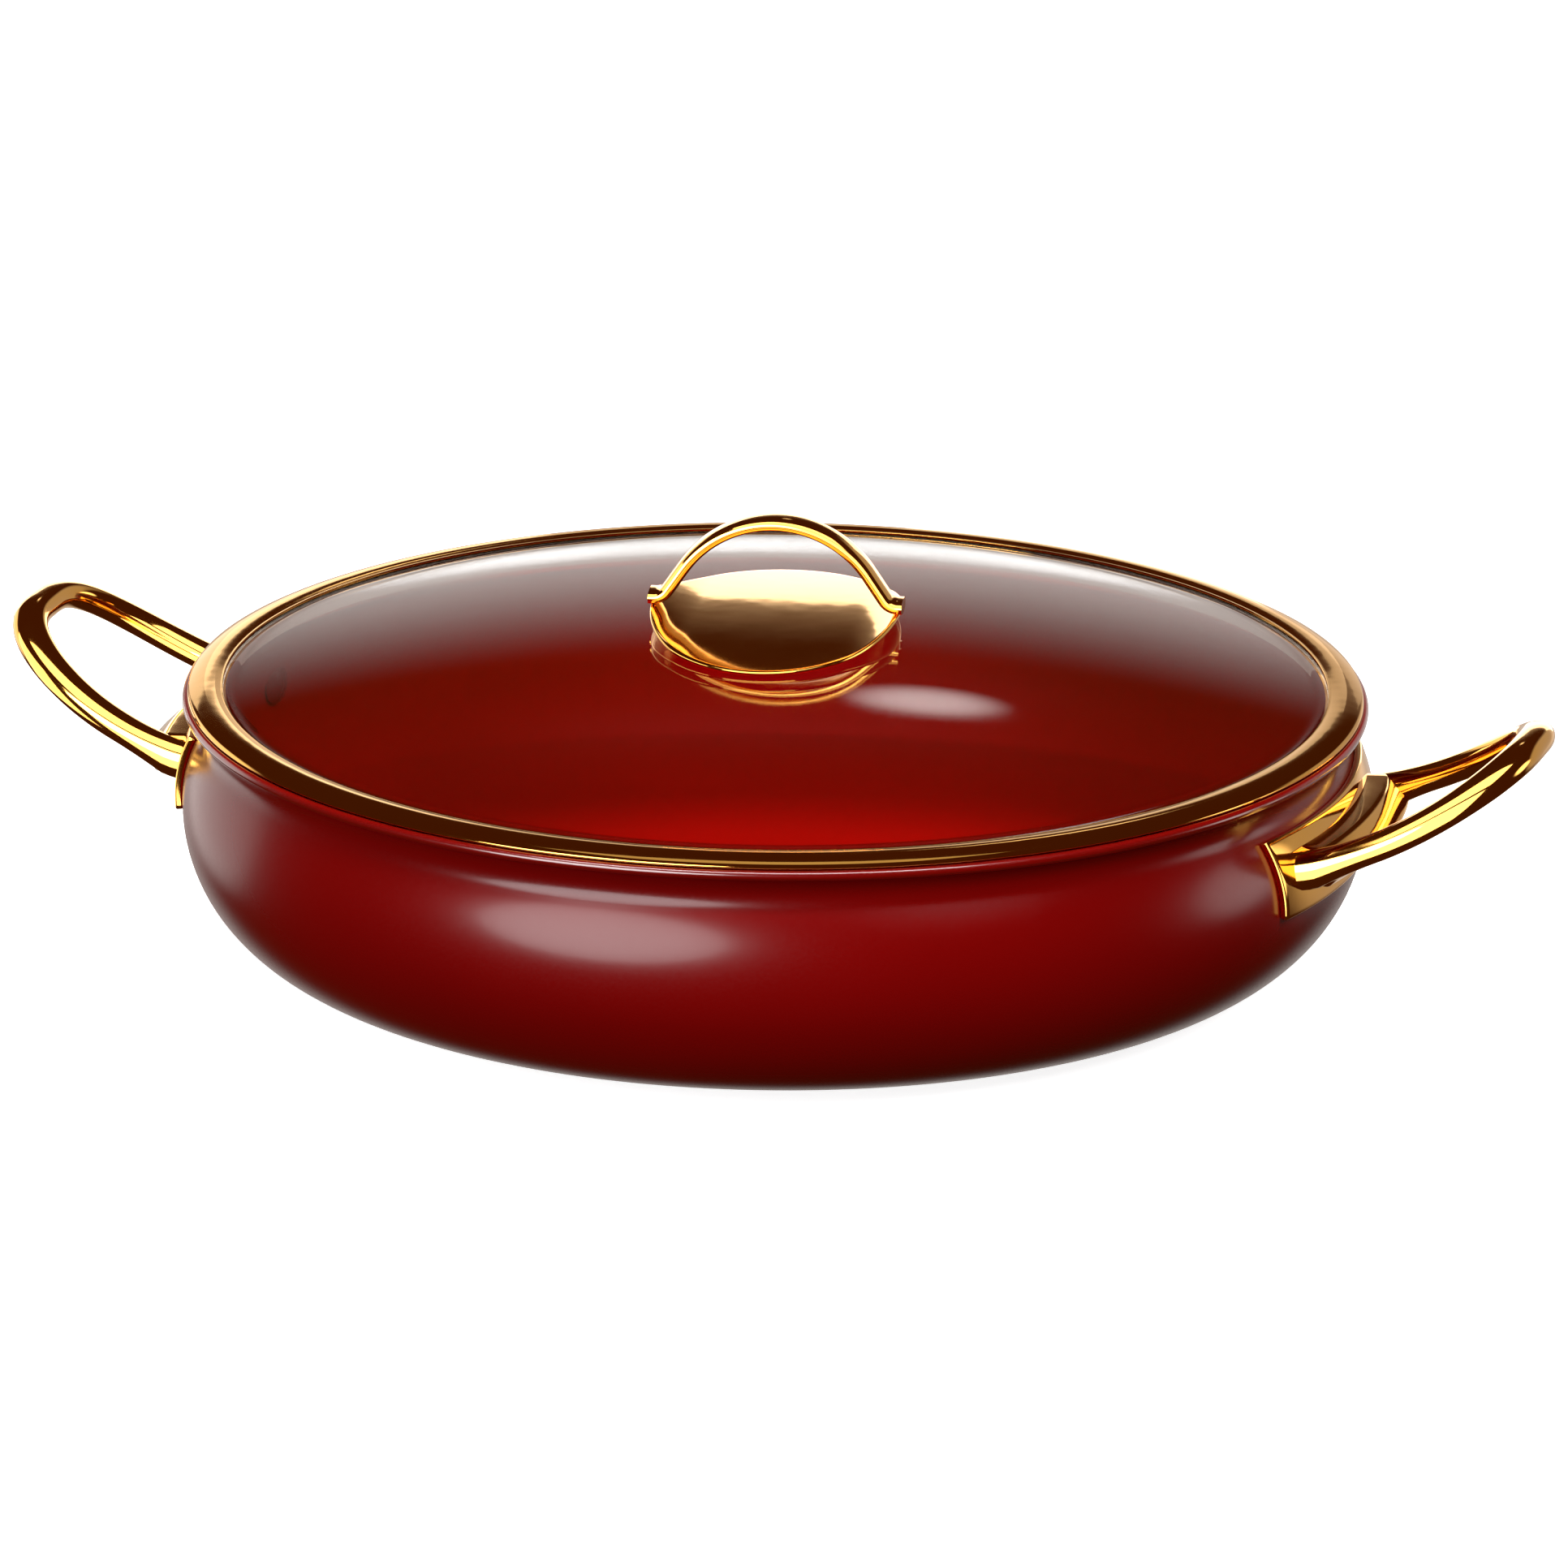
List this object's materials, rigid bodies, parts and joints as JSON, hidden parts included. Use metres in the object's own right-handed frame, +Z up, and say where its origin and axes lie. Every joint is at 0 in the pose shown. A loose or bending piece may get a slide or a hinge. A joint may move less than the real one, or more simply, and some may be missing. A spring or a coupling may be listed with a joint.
{
  "type": "lidded shallow casserole",
  "caption": "Wide shallow casserole in red lacquered steel with gold loop handles and a domed glass lid that lifts off, with a gold band and arch grip.",
  "frame": {"origin": "centre of the base, on the surface that the pan stands on", "axes": "+Z up, the two side handles along X"},
  "size_m": [0.3908, 0.292, 0.1132],
  "materials": {
    "red_lacquer": "high gloss deep red lacquer",
    "gold": "mirror polished gold plating",
    "glass": "clear tempered glass",
    "silicone": "translucent matt silicone",
    "steel": "bright stainless steel",
    "base_steel": "circularly brushed stainless steel"
  },
  "bodies": {
    "pot": {"pot_body": "red_lacquer", "base_disc": "base_steel", "handle_plate_right": "gold", "handle_plate_left": "gold", "handle_loop_right": "gold", "handle_loop_left": "gold", "handle_rivets_right": "red_lacquer", "handle_rivets_left": "red_lacquer"},
    "lid": {"lid_glass": "glass", "lid_band": "gold", "lid_band_seal": "silicone", "lid_plate": "gold", "lid_grip": "gold", "lid_stud": "steel", "lid_gasket_upper": "silicone", "lid_gasket_lower": "silicone", "lid_washer": "steel", "lid_screw": "steel"}
  },
  "joints": [
    {"name": "lid_lift", "type": "slide", "parent": "pot", "child": "lid", "axis": [0, 0, 1], "range_m": [0, 0.12]}
  ]
}
